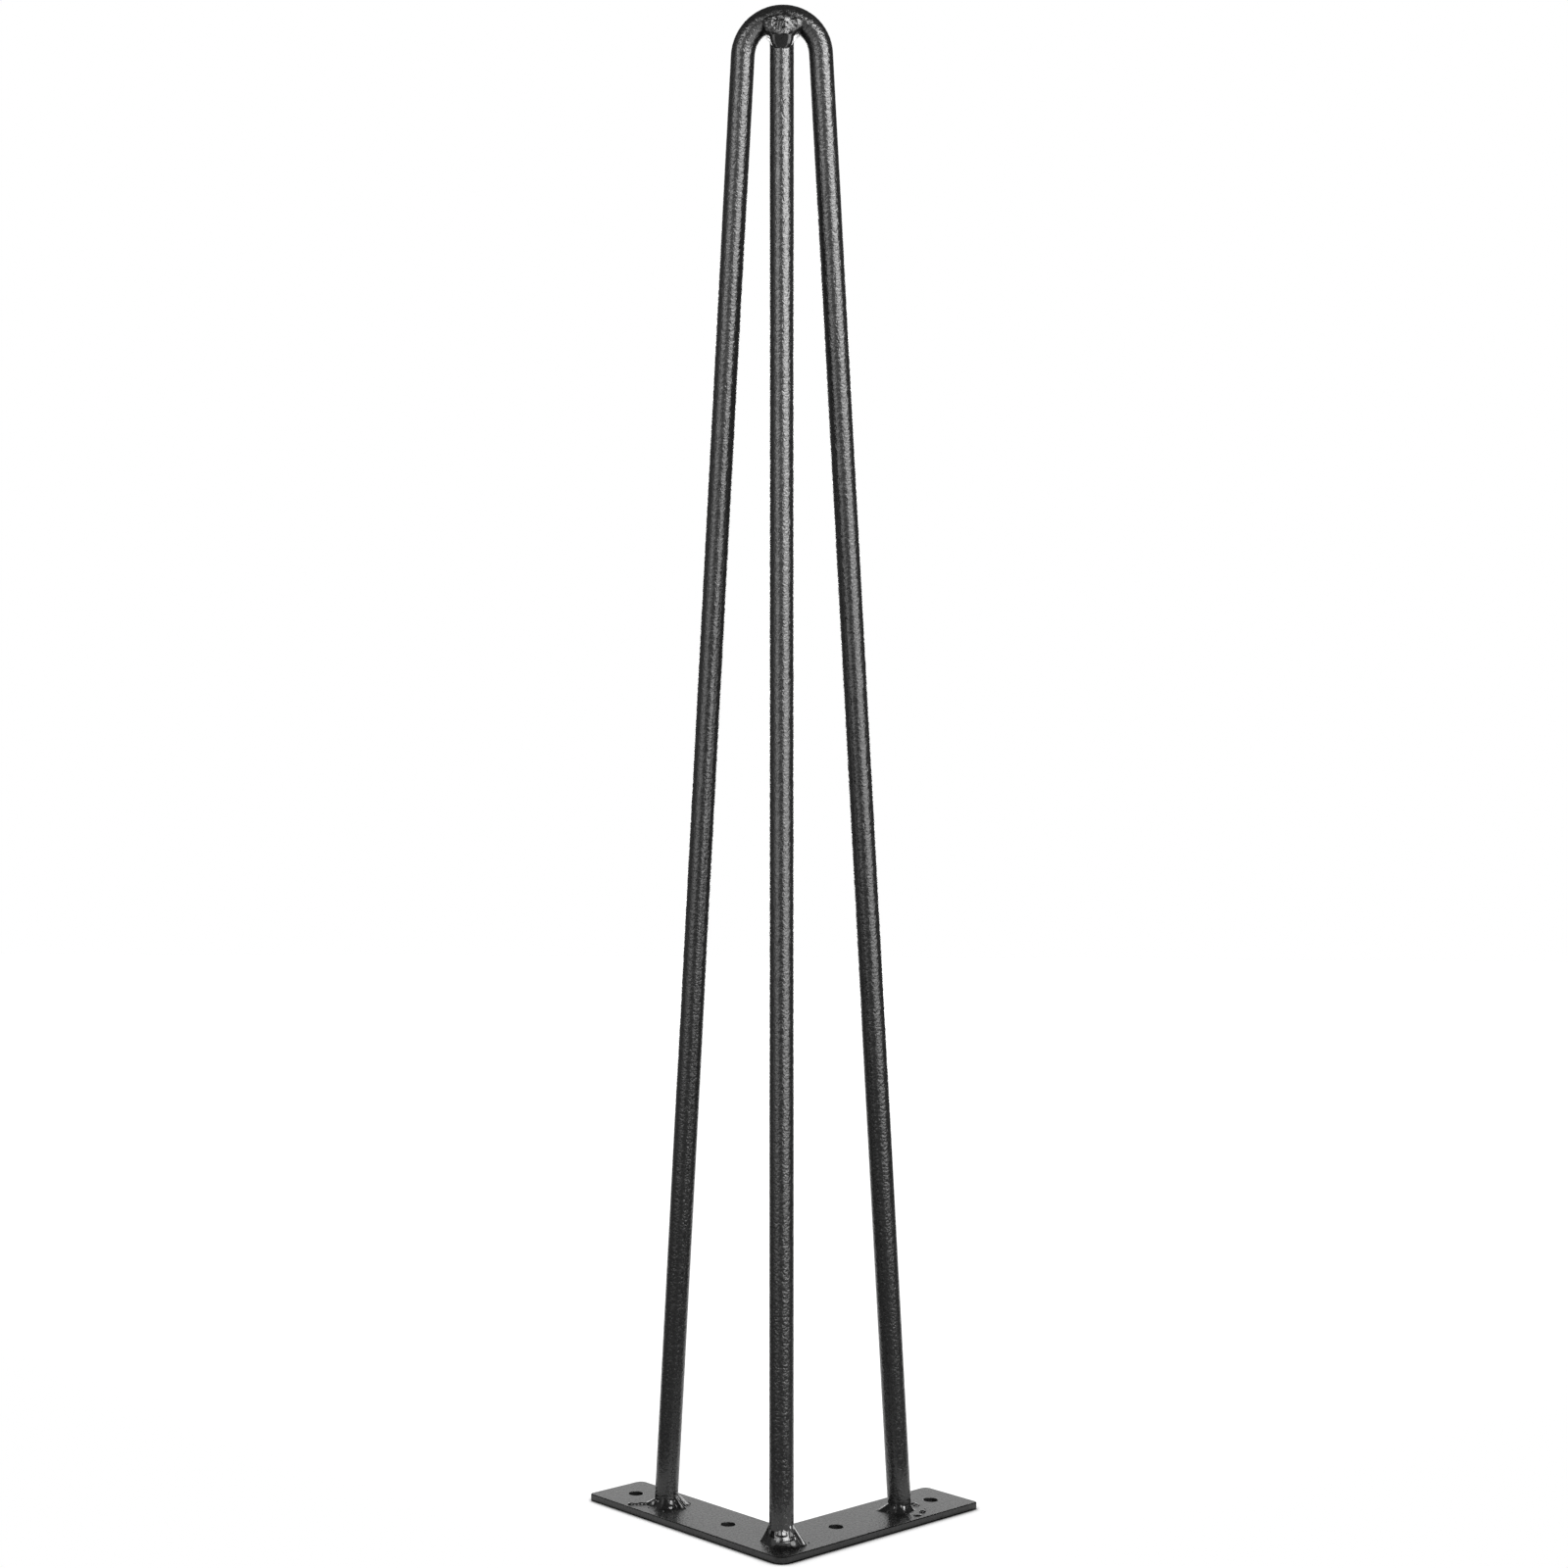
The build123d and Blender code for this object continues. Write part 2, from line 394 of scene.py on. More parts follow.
def rod_tree():
    """Node tree that bends a polyline's corners and sweeps a round bar along it, flush on the plate."""
    noise_middle = 0.5
    tree, given, result = new_tree(
        "Rod along a path",
        [
            ("Bend Radius", "NodeSocketFloat"),
            ("Bend Steps", "NodeSocketInt"),
            ("Ring Spacing", "NodeSocketFloat"),
            ("Rod Radius", "NodeSocketFloat"),
            ("Facets", "NodeSocketInt"),
            ("Plate Top", "NodeSocketFloat"),
            ("Waviness", "NodeSocketFloat"),
            ("Wave Length", "NodeSocketFloat"),
            ("Material", "NodeSocketMaterial"),
        ],
    )
    path = add_node(tree, "GeometryNodeMeshToCurve", {"Mesh": given["Geometry"]})
    bent = add_node(
        tree,
        "GeometryNodeFilletCurve",
        {"Curve": path.outputs["Curve"], "Radius": given["Bend Radius"], "Count": given["Bend Steps"]},
        mode="POLY",
    )
    spaced = add_node(
        tree,
        "GeometryNodeResampleCurve",
        {"Curve": bent.outputs["Curve"], "Length": given["Ring Spacing"]},
        mode="LENGTH",
    )
    section = add_node(
        tree,
        "GeometryNodeCurvePrimitiveCircle",
        {"Radius": given["Rod Radius"], "Resolution": given["Facets"]},
    )
    bar = add_node(
        tree,
        "GeometryNodeCurveToMesh",
        {"Curve": spaced.outputs["Curve"], "Profile Curve": section.outputs["Curve"], "Fill Caps": True},
    )
    per_wave = add_node(tree, "ShaderNodeMath", {0: 1.0, 1: given["Wave Length"]}, operation="DIVIDE")
    wave = add_node(tree, "ShaderNodeTexNoise", {"Scale": per_wave.outputs["Value"], "Detail": 1.0})
    swing = add_node(
        tree, "ShaderNodeMath", {0: wave.outputs["Fac"], 1: noise_middle}, operation="SUBTRACT"
    )
    height = add_node(
        tree, "ShaderNodeMath", {0: swing.outputs["Value"], 1: given["Waviness"]}, operation="MULTIPLY"
    )
    normal = add_node(tree, "GeometryNodeInputNormal")
    offset = add_node(
        tree,
        "ShaderNodeVectorMath",
        {0: normal.outputs["Normal"], "Scale": height.outputs["Value"]},
        operation="SCALE",
    )
    uneven = add_node(
        tree,
        "GeometryNodeSetPosition",
        {"Geometry": bar.outputs["Mesh"], "Offset": offset.outputs["Vector"]},
    )
    place = add_node(tree, "GeometryNodeInputPosition")
    split = add_node(tree, "ShaderNodeSeparateXYZ", {"Vector": place.outputs["Position"]})
    level = add_node(
        tree, "ShaderNodeMath", {0: split.outputs["Z"], 1: given["Plate Top"]}, operation="MAXIMUM"
    )
    flush = add_node(
        tree,
        "ShaderNodeCombineXYZ",
        {"X": split.outputs["X"], "Y": split.outputs["Y"], "Z": level.outputs["Value"]},
    )
    seated = add_node(
        tree,
        "GeometryNodeSetPosition",
        {"Geometry": uneven.outputs["Geometry"], "Position": flush.outputs["Vector"]},
    )
    smooth = add_node(tree, "GeometryNodeSetShadeSmooth", {0: seated.outputs["Geometry"]})
    real = add_node(tree, "GeometryNodeRealizeInstances", {"Geometry": smooth.outputs[0]})
    coated = add_node(
        tree,
        "GeometryNodeSetMaterial",
        {"Geometry": real.outputs["Geometry"], "Material": given["Material"]},
    )
    tree.links.new(coated.outputs["Geometry"], result["Geometry"])
    return tree


def polyline(name, points):
    """Mesh of edges through points."""
    mesh = bpy.data.meshes.new(name)
    mesh.from_pydata(points, [(i, i + 1) for i in range(len(points) - 1)], [])
    return mesh


def hairpin_corners(bend_radius):
    """Ends of the hairpin's legs, just below the plate's face, and the point where their lines meet."""
    root = Vector((0, RIGHT_FOOT.y, PLATE_TOP))
    rise = (APEX - root).length
    up = (APEX - root).normalized()
    centre_height = rise - bend_radius
    reach = math.hypot(RIGHT_FOOT.x, centre_height)
    tilt = math.atan2(RIGHT_FOOT.x, centre_height) + math.acos(bend_radius / reach) - math.pi / 2
    meeting = root + up * (centre_height + bend_radius / math.sin(tilt))
    ends = [foot + (foot - meeting).normalized() * ROD_OVERRUN for foot in (LEFT_FOOT, RIGHT_FOOT)]
    return [ends[0], meeting, ends[1]]


class HAIRPIN_LEG_OT_rods(bpy.types.Operator):
    """Bends the hairpin and makes the straight corner rod."""

    bl_idname = "hairpin_leg.rods"
    bl_label = "Rods"

    def execute(self, context):
        sizes = context.scene.hairpin_leg.rods
        tree = rod_tree()
        values = {
            "Bend Radius": sizes.bend_radius,
            "Bend Steps": sizes.bend_steps,
            "Ring Spacing": sizes.ring_spacing,
            "Rod Radius": ROD_RADIUS,
            "Facets": sizes.facets,
            "Plate Top": PLATE_TOP,
            "Waviness": sizes.waviness,
            "Wave Length": sizes.wave_length,
            "Material": rod_coat(),
        }
        hairpin = run_tree(tree, polyline("hairpin_path", hairpin_corners(sizes.bend_radius)), values)
        add_piece("bent_hairpin", hairpin, "rod_coat", "hairpin_rod")
        start = CORNER_FOOT - CORNER_AXIS * ROD_OVERRUN
        end = CORNER_FOOT + CORNER_AXIS * ((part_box("corner_rod")[1][2] - PLATE_TOP) / CORNER_AXIS.z)
        corner = run_tree(tree, polyline("corner_path", [start, end]), values)
        add_piece("straight_corner_rod", corner, "rod_coat", "corner_rod")
        return {"FINISHED"}


def rounded_outline(corners, steps):
    """Points and outward normals of a polygon, anticlockwise, whose corners are (point, radius)."""
    outline = []
    for index, (corner, radius) in enumerate(corners):
        before = (corners[index - 1][0] - corner).normalized()
        after = (corners[(index + 1) % len(corners)][0] - corner).normalized()
        half_angle = before.angle(after) / 2
        centre = corner + (before + after).normalized() * radius / math.sin(half_angle)
        bulges = before.cross(after) < 0
        start = corner + before * radius / math.tan(half_angle) - centre
        sweep = (math.pi - 2 * half_angle) * (1 if bulges else -1)
        for step in range(steps + 1):
            spoke = start.copy()
            spoke.rotate(Matrix.Rotation(sweep * step / steps, 2))
            outline.append((centre + spoke, spoke.normalized() * (1 if bulges else -1)))
    return outline


def round_hole(centre, radius, steps):
    """Points of a hole and the normals of its wall, which face its axis."""
    angles = [2 * math.pi * step / steps for step in range(steps)]
    spokes = [Vector((math.cos(angle), math.sin(angle))) for angle in angles]
    return [(centre + spoke * radius, -spoke) for spoke in spokes]


def rim_profile(rounding, low, high, steps):
    """Inset and level up a wall with rounded rims."""
    quarter = [math.pi / 2 * step / steps for step in range(steps + 1)]
    lower = [(rounding * (1 - math.sin(a)), low + rounding * (1 - math.cos(a))) for a in quarter]
    upper = [(inset, low + high - level) for inset, level in reversed(lower)]
    return lower + upper


def add_wall(shell, outline, profile):
    """Adds the wall that an outline sweeps through a profile; returns its lowest and highest edges."""
    rings = []
    for inset, level in profile:
        spots = [point - normal * inset for point, normal in outline]
        rings.append([shell.verts.new((spot.x, spot.y, level)) for spot in spots])
    count = len(outline)
    for lower, upper in zip(rings, rings[1:]):
        for here in range(count):
            there = (here + 1) % count
            face = shell.faces.new((lower[here], lower[there], upper[there], upper[here]))
            face.smooth = True
    rims = []
    for ring in (rings[0], rings[-1]):
        pairs = zip(ring, ring[1:] + ring[:1])
        rims.append([shell.edges.get(pair) or shell.edges.new(pair) for pair in pairs])
    return rims


def plate_outline(sizes):
    """Outline of the L, its arms' length and width taken from the plate's box."""
    corner_steps = 12
    far_tip = PLATE_HIGH[0] / DIAGONAL + CORNER_LOSS * sizes.tip_outer / DIAGONAL
    depth = PLATE_HIGH[1] - PLATE_LOW[1] + CORNER_LOSS * (sizes.tip_inner + sizes.outer_corner)
    width = depth / DIAGONAL - far_tip
    turn = Matrix.Rotation(math.radians(45), 2)
    corner = Vector((0, PLATE_LOW[1] - CORNER_LOSS * sizes.outer_corner))
    stations = [
        ((0, 0), sizes.outer_corner),
        ((far_tip, 0), sizes.tip_outer),
        ((far_tip, width), sizes.tip_inner),
        ((width, width), sizes.throat),
        ((width, far_tip), sizes.tip_inner),
        ((0, far_tip), sizes.tip_outer),
    ]
    corners = [(corner + turn @ Vector(spot), radius) for spot, radius in stations]
    return rounded_outline(corners, corner_steps)


def hole_outlines():
    """Outlines of the four screw holes."""
    hole_steps = 64
    holes = []
    for name in ("outer_screws", "inner_screws"):
        mount = MOUNTS[name]
        for side in (-0.5, 0.5):
            centre = Vector((side * mount["dims"]["spacing_x_mm"] * MM, mount["pos_m"][1]))
            holes.append(round_hole(centre, mount["dims"]["hole_r_mm"] * MM, hole_steps))
    return holes


class HAIRPIN_LEG_OT_plate(bpy.types.Operator):
    """Cuts the L-shaped plate with its screw holes and softens every rim."""

    bl_idname = "hairpin_leg.plate"
    bl_label = "Plate"

    def execute(self, context):
        sizes = context.scene.hairpin_leg.plate
        rim_steps = 6
        walls = [(plate_outline(sizes), sizes.edge_round)]
        walls += [(hole, sizes.hole_round) for hole in hole_outlines()]
        shell = bmesh.new()
        lower_rims = []
        upper_rims = []
        for outline, rounding in walls:
            profile = rim_profile(rounding, PLATE_LOW[2], PLATE_TOP, rim_steps)
            lower, upper = add_wall(shell, outline, profile)
            lower_rims += lower
            upper_rims += upper
        for rims in (lower_rims, upper_rims):
            bmesh.ops.triangle_fill(shell, use_beauty=True, edges=rims)
        bmesh.ops.recalc_face_normals(shell, faces=shell.faces)
        mesh = bpy.data.meshes.new("corner_plate")
        shell.to_mesh(mesh)
        shell.free()
        mesh.materials.append(plate_coat())
        add_piece("corner_plate", mesh, "plate_coat", "mounting_plate")
        return {"FINISHED"}


def ring_mesh(name, rings, closes, material):
    """Mesh of rings of points, joined in order; it closes on itself, or has its ends capped."""
    count = len(rings[0])
    shell = bmesh.new()
    verts = [[shell.verts.new(point) for point in ring] for ring in rings]
    pairs = list(zip(verts, verts[1:]))
    if closes:
        pairs.append((verts[-1], verts[0]))
    for first, second in pairs:
        for here in range(count):
            there = (here + 1) % count
            shell.faces.new((first[here], first[there], second[there], second[here]))
    if not closes:
        shell.faces.new(verts[0])
        shell.faces.new(verts[-1])
    bmesh.ops.recalc_face_normals(shell, faces=shell.faces)
    for face in shell.faces:
        face.smooth = True
    mesh = bpy.data.meshes.new(name)
    shell.to_mesh(mesh)
    shell.free()
    mesh.materials.append(material)
    return mesh


def polar(radius, heading, level):
    """Point at a radius and a heading round the Z axis, at a level."""
    return Vector((radius * math.cos(heading), radius * math.sin(heading), level))


def angle_between(first, second):
    """Signed turn from the second heading to the first, at most half a turn."""
    return (first - second + math.pi) % (2 * math.pi) - math.pi


class Lump:
    """A frozen lump of weld metal at a heading, with its crest at a share of the way down a bead.

    It swells over the stretch above its crest and falls away over the stretch below it, each a share
    of the bead too. Headings are in degrees from +X, so -90 faces the front.
    """

    flank_power = 1.2   # 1 would give the lump straight flanks above and below its crest

    def __init__(self, heading, share, half_turn, above, below, rise):
        self.heading = math.radians(heading)
        self.share = share
        self.half_turn = math.radians(half_turn)
        self.above = above
        self.below = below
        self.rise = rise

    def height(self, heading, share):
        """Height of the lump above the bead's own form."""
        turn = angle_between(heading, self.heading) / self.half_turn
        fall = share - self.share
        drop = (abs(fall) / (self.below if fall > 0 else self.above)) ** self.flank_power
        return self.rise * max(0.0, 1 - turn * turn - drop)


class Tongue:
    """A stretch of a bead that was drawn out along the plate, and up the rod, at a heading.

    The heading, and the half turn that it spreads over to each side, are in degrees.
    """

    def __init__(self, heading, reach, half_turn, climb):
        self.heading = math.radians(heading)
        self.reach = reach
        self.half_turn = math.radians(half_turn)
        self.climb = climb

    def strength(self, heading):
        """1 along the tongue's ridge, falling to 0 beside it."""
        turn = angle_between(heading, self.heading) / self.half_turn
        return max(0.0, 1 - turn * turn) ** 2

    def length(self, heading):
        """Reach past the bead's own foot at a heading."""
        return self.reach * self.strength(heading)


def leg_tongues():
    """The wide tongues in front of and behind each of the hairpin's legs."""
    return [Tongue(-90, 2.9 * MM, 70, 1.8 * MM), Tongue(90, 2.0 * MM, 75, 1.5 * MM)]


def left_bead_form():
    """Tongues and main lumps of the bead at the left leg, drawn out to both sides."""
    tongues = [
        *leg_tongues(),
        Tongue(-37, 7.4 * MM, 12, 3.2 * MM),
        Tongue(-16, 4.0 * MM, 26, 3.0 * MM),
        Tongue(3, 6.4 * MM, 11, 3.2 * MM),
        Tongue(188, 5.6 * MM, 20, 0.2 * MM),
    ]
    lumps = [
        Lump(-57, 0.18, 24, 0.16, 0.42, 1.0 * MM),
        Lump(-68, 0.74, 14, 0.12, 0.16, 0.6 * MM),
        Lump(-140, 0.24, 16, 0.18, 0.42, 0.9 * MM),
    ]
    return tongues, lumps


def right_bead_form():
    """Tongues and main lumps of the bead at the right leg, drawn out to the left."""
    tongues = [
        *leg_tongues(),
        Tongue(201, 7.4 * MM, 34, 0.4 * MM),
        Tongue(-20, 1.2 * MM, 30, -0.8 * MM),
    ]
    lumps = [
        Lump(-70, 0.18, 20, 0.16, 0.42, 0.95 * MM),
        Lump(-118, 0.30, 10, 0.16, 0.24, 0.4 * MM),
    ]
    return tongues, lumps


def corner_bead_form():
    """Tongues and main lumps of the tall bead at the corner rod."""
    tongues = [
        Tongue(-16, 3.6 * MM, 12, 0),
        Tongue(-40, 2.8 * MM, 20, 0),
        Tongue(172, 1.0 * MM, 20, 0),
    ]
    lumps = [
        Lump(-86, 0.36, 26, 0.32, 0.05, 0.7 * MM),
        Lump(-72, 0.55, 40, 0.45, 0.04, 0.25 * MM),
        Lump(-46, 0.45, 10, 0.30, 0.08, 0.5 * MM),
    ]
    return tongues, lumps


def lump_row(draw, share, count, above, rise):
    """Lumps laid one after another round a bead, each a little out of place and of its own size."""
    drift = 0.25           # sideways, in spacings
    wander = 0.05          # up or down, as a share of the bead
    widths = (0.7, 1.05)   # half a lump's width, in spacings
    heights = (0.5, 1.2)   # times the rise
    lengths = (0.8, 1.2)   # times the stretch above a crest
    lap = 0.4              # stretch below a crest, times the one above
    spacing = 360 / count
    first = draw.uniform(0, spacing)
    row = []
    for index in range(count):
        heading = first + spacing * (index + draw.uniform(-drift, drift))
        crest = share + draw.uniform(-wander, wander)
        half_turn = spacing * draw.uniform(*widths)
        height = rise * draw.uniform(*heights)
        length = above * draw.uniform(*lengths)
        row.append(Lump(heading, crest, half_turn, length, lap * above, height))
    return row


def lump_rows(draw, rise):
    """Two rows of small lumps round a bead, the second below the first."""
    # Share of the way down the bead, lumps in the row, stretch above a crest
    rows = ((0.34, 6, 0.28), (0.64, 7, 0.2))
    lumps = []
    for share, count, above in rows:
        lumps += lump_row(draw, share, count, above, rise)
    return lumps


def bead_relief(spot, angle, share, lumps):
    """Height of lumps, ripples, swells and grit above a bead's flare, none at the flare's two edges."""
    ripple_rise = bpy.context.scene.hairpin_leg.welds.ripple_rise
    ripples = 32
    ripple_bow = 0.8   # bends a ripple's ends round the rod
    middle = 0.5
    swell = 4 * MM
    swell_rise = 0.12 * MM
    grit = 1.2 * MM
    grit_rise = 0.012 * MM
    edge_fade = 0.8
    if not 0 < share < 1:
        return 0.0
    lift = max(lump.height(angle, share) for lump in lumps)
    lift += ripple_rise * math.sin(ripples * (angle + ripple_bow * (share - middle) ** 2))
    lift += swell_rise * noise.noise(spot / swell)
    lift += grit_rise * noise.noise(spot / grit)
    return lift * math.sin(math.pi * share) ** edge_fade


def bead_mesh(name, foot, axis, height, reach, hollow, tongues, lumps):
    """Weld bead round a rod's foot: a hollow flare that leans with the rod, with its tongues and relief."""
    burial = bpy.context.scene.hairpin_leg.welds.burial
    tongue_hollow = 1.15
    around = 288
    levels = 48
    lean_margin = 0.02   # keeps the relief's direction from turning sharply at the flare's edges
    inner = ROD_RADIUS - burial
    angles = [2 * math.pi * index / around for index in range(around)]
    rings = []
    for step in range(levels + 1):
        share = step / levels
        ring = []
        for angle in angles:
            tongue = max(tongues, key=lambda each: each.length(angle))
            strength = tongue.strength(angle)
            flare = reach + burial + tongue.length(angle)
            rise = height + burial + tongue.climb * strength
            power = hollow + (tongue_hollow - hollow) * strength
            radius = inner + flare * share**power
            level = rise * (1 - share) ** power - burial
            outwards = rise * (1 + lean_margin - share) ** (power - 1)
            upwards = flare * (lean_margin + share) ** (power - 1)
            lean = Vector((outwards, upwards)).normalized()
            lift = bead_relief(foot + polar(radius, angle, level), angle, share, lumps)
            up = level + lift * lean.y
            ring.append(foot + polar(radius + lift * lean.x, angle, 0) + axis * (up / axis.z))
        rings.append(ring)
    rings.append([foot + polar(inner, angle, -burial) for angle in angles])
    return ring_mesh(name, rings, True, weld_coat())


class HAIRPIN_LEG_OT_beads(bpy.types.Operator):
    """Lays the weld beads round the feet of the three rods."""

    bl_idname = "hairpin_leg.beads"
    bl_label = "Weld Beads"

    def execute(self, context):
        sizes = context.scene.hairpin_leg.welds
        meeting = hairpin_corners(context.scene.hairpin_leg.rods.bend_radius)[1]
        left_axis = (meeting - LEFT_FOOT).normalized()
        right_axis = (meeting - RIGHT_FOOT).normalized()
        leg = (sizes.leg_height, sizes.leg_reach, sizes.leg_hollow)
        corner = (sizes.corner_height, sizes.corner_reach, sizes.corner_hollow)
        leg_rise = sizes.leg_unevenness
        corner_rise = sizes.corner_unevenness
        # Name, foot, axis, sizes of the flare, form, height of the small lumps, seed
        beads = [
            ("weld_left_leg", LEFT_FOOT, left_axis, leg, left_bead_form(), leg_rise, 11),
            ("weld_right_leg", RIGHT_FOOT, right_axis, leg, right_bead_form(), leg_rise, 23),
            ("weld_corner_rod", CORNER_FOOT, CORNER_AXIS, corner, corner_bead_form(), corner_rise, 37),
        ]
        for name, foot, axis, flare, (tongues, lumps), rise, seed in beads:
            rows = lump_rows(random.Random(seed), rise)
            mesh = bead_mesh(name, foot, axis, *flare, tongues, lumps + rows)
            add_piece(name, mesh, "weld_coat", "weld_beads")
        return {"FINISHED"}


def in_metres(*stations):
    """Stations written in millimetres, in metres."""
    return [[size * MM for size in station] for station in stations]


def between(stations, drop):
    """Half width and half depth of weld metal under the bend at a drop, in line between stations."""
    for (above, *first), (below, *second) in zip(stations, stations[1:]):
        if drop <= below:
            share = (drop - above) / (below - above)
            return [a + (b - a) * share for a, b in zip(first, second)]
    return stations[-1][1:]


def weld_loft(name, stations, squareness, relief, material):
    """Weld metal lofted down the corner rod through stations of (drop, half width, half depth).

    Above the ledge it follows the bend's curve, more and more. A squareness of 2 gives oval sections,
    and a higher one squarer sections.
    """
    bend_radius = bpy.context.scene.hairpin_leg.rods.bend_radius
    ledge = 11 * MM
    rows = 110
    around = 260
    fade_in = 6      # rows over which the relief begins
    fade_out = 12    # and ends
    top = stations[0][0]
    bottom = stations[-1][0]
    side = Vector((1, 0, 0))
    back = CORNER_AXIS.cross(side)
    rings = []
    for row in range(rows + 1):
        drop = top + (bottom - top) * row / rows
        half_width, half_depth = between(stations, drop)
        follows = max(0.0, 1 - max(0.0, drop) / ledge)
        fade = min(1, row / fade_in, (rows - row) / fade_out)
        ring = []
        for index in range(around):
            angle = 2 * math.pi * index / around
            along = (abs(math.cos(angle)) / half_width) ** squareness
            across = (abs(math.sin(angle)) / half_depth) ** squareness
            radius = (along + across) ** (-1 / squareness)
            spot = Vector((radius * math.cos(angle), radius * math.sin(angle)))
            lift = relief(spot, drop) * fade
            arc = bend_radius - math.sqrt(bend_radius**2 - spot.x**2)
            level = APEX - CORNER_AXIS * (drop + arc * follows)
            proud = spot + spot.normalized() * lift
            ring.append(level + side * proud.x + back * proud.y)
        rings.append(ring)
    return ring_mesh(name, rings, False, material)


def hammered(x, drop, side):
    """Relief of the fan under the bend, about 1 high and deep: ridges that run together at the tongue."""
    root_drop = 22 * MM
    ridge_turn = 0.09
    ridge_length = 2.0 * MM
    side_gap = 7          # keeps the relief in front unlike the one behind
    finer = 2.1           # smaller ridges on the larger ones
    finer_share = 0.5
    down = root_drop - drop
    turn = math.atan2(x, down) / ridge_turn
    place = Vector((turn, math.hypot(x, down) / ridge_length, side_gap * side))
    return noise.noise(place) + finer_share * noise.noise(finer * place)


def fan_relief(spot, drop):
    """Three lobes with hammered ridges, and the pits where the weld pool shrank."""
    pits = in_metres((-3.2, 3.0), (-0.3, 0.4), (5.5, 2.2))   # to the right, and down from the bend's middle
    pit_radius = 1.2 * MM
    pit_depth = 0.8 * MM
    lobe_width = 8.5 * MM
    lobe_crest = 1.25 * MM
    lobe_rise = 0.5 * MM
    hammer_depth = bpy.context.scene.hairpin_leg.welds.hammer_depth
    lift = hammer_depth * hammered(spot.x, drop, math.copysign(1, spot.y))
    lift += lobe_rise * math.cos(2 * math.pi * (spot.x - lobe_crest) / lobe_width)
    for pit_x, pit_drop in pits:
        away = math.hypot(spot.x - pit_x, drop - pit_drop) / pit_radius
        lift -= pit_depth * max(0.0, 1 - away * away)
    return lift


def weld_fan():
    """Fan of weld metal that spreads along the bend and ends in a lip over the tongue."""
    squareness = 2.7
    stations = in_metres(
        (-2.0, 7.0, 5.0),
        (0.2, 10.2, 6.2),
        (1.2, 11.6, 7.5),
        (2.0, 12.0, 7.8),
        (5.0, 11.2, 8.1),
        (8.5, 8.8, 8.3),
        (11.0, 6.4, 8.4),
        (11.6, 6.0, 8.2),
        (12.2, 5.6, 7.4),
        (12.6, 4.6, 5.5),
    )
    return weld_loft("weld_under_bend", stations, squareness, fan_relief, hammered_coat())


def tongue_relief(spot, drop):
    """Slow swells of metal that ran down the rod."""
    swell = 3.5 * MM
    swell_rise = 0.12 * MM
    return swell_rise * noise.noise(Vector((*spot, drop)) / swell)


def weld_tongue():
    """Smooth tongue of weld metal that comes out from under the fan and runs down the corner rod."""
    squareness = 4.5
    stations = in_metres(
        (7.5, 9.0, 5.0),
        (9.5, 7.4, 7.2),
        (11.5, 6.1, 8.2),
        (13.5, 5.7, 7.5),
        (15.5, 5.0, 6.7),
        (17.2, 3.7, 6.1),
        (18.2, 2.0, 5.4),
    )
    return weld_loft("weld_tongue", stations, squareness, tongue_relief, weld_coat())


class HAIRPIN_LEG_OT_crown(bpy.types.Operator):
    """Fills the fork under the bend: a hammered-looking fan of weld metal over a smooth tongue."""

    bl_idname = "hairpin_leg.crown"
    bl_label = "Weld under the Bend"

    def execute(self, context):
        for mesh in (weld_fan(), weld_tongue()):
            add_piece(mesh.name, mesh, "weld_coat", "weld_beads")
        return {"FINISHED"}


def spatter_tree():
    """Node tree that sets a drop of frozen metal on every point, each of its own size and turn."""
    tree, given, result = new_tree(
        "Drops on points",
        [
            ("Smallest", "NodeSocketVector"),
            ("Largest", "NodeSocketVector"),
            ("Turn", "NodeSocketFloat"),
            ("Seed", "NodeSocketInt"),
            ("Material", "NodeSocketMaterial"),
        ],
    )
    drop = add_node(tree, "GeometryNodeMeshIcoSphere", {"Radius": 1.0, "Subdivisions": 3})
    size = add_node(
        tree,
        "FunctionNodeRandomValue",
        {0: given["Smallest"], 1: given["Largest"], "Seed": given["Seed"]},
        data_type="FLOAT_VECTOR",
    )
    turn = add_node(
        tree, "FunctionNodeRandomValue", {2: 0.0, 3: given["Turn"], "Seed": given["Seed"]}, data_type="FLOAT"
    )
    upright = add_node(tree, "ShaderNodeCombineXYZ", {"Z": turn.outputs[1]})
    heading = add_node(tree, "FunctionNodeEulerToRotation", {"Euler": upright.outputs["Vector"]})
    drops = add_node(
        tree,
        "GeometryNodeInstanceOnPoints",
        {
            "Points": given["Geometry"],
            "Instance": drop.outputs["Mesh"],
            "Rotation": heading.outputs["Rotation"],
            "Scale": size.outputs[0],
        },
    )
    real = add_node(tree, "GeometryNodeRealizeInstances", {"Geometry": drops.outputs["Instances"]})
    smooth = add_node(tree, "GeometryNodeSetShadeSmooth", {0: real.outputs["Geometry"]})
    coated = add_node(
        tree, "GeometryNodeSetMaterial", {"Geometry": smooth.outputs[0], "Material": given["Material"]}
    )
    tree.links.new(coated.outputs["Geometry"], result["Geometry"])
    return tree


def point_cloud(name, points):
    """Mesh of loose points."""
    mesh = bpy.data.meshes.new(name)
    mesh.from_pydata(points, [], [])
    return mesh


def scattered(draw, foot, nearest, farthest, count):
    """Places round a foot on the plate, thinning out away from it."""
    places = []
    for _ in range(count):
        angle = draw.uniform(0, 2 * math.pi)
        away = nearest + (farthest - nearest) * draw.random() ** 2
        places.append(foot + polar(away, angle, 0))
    return places


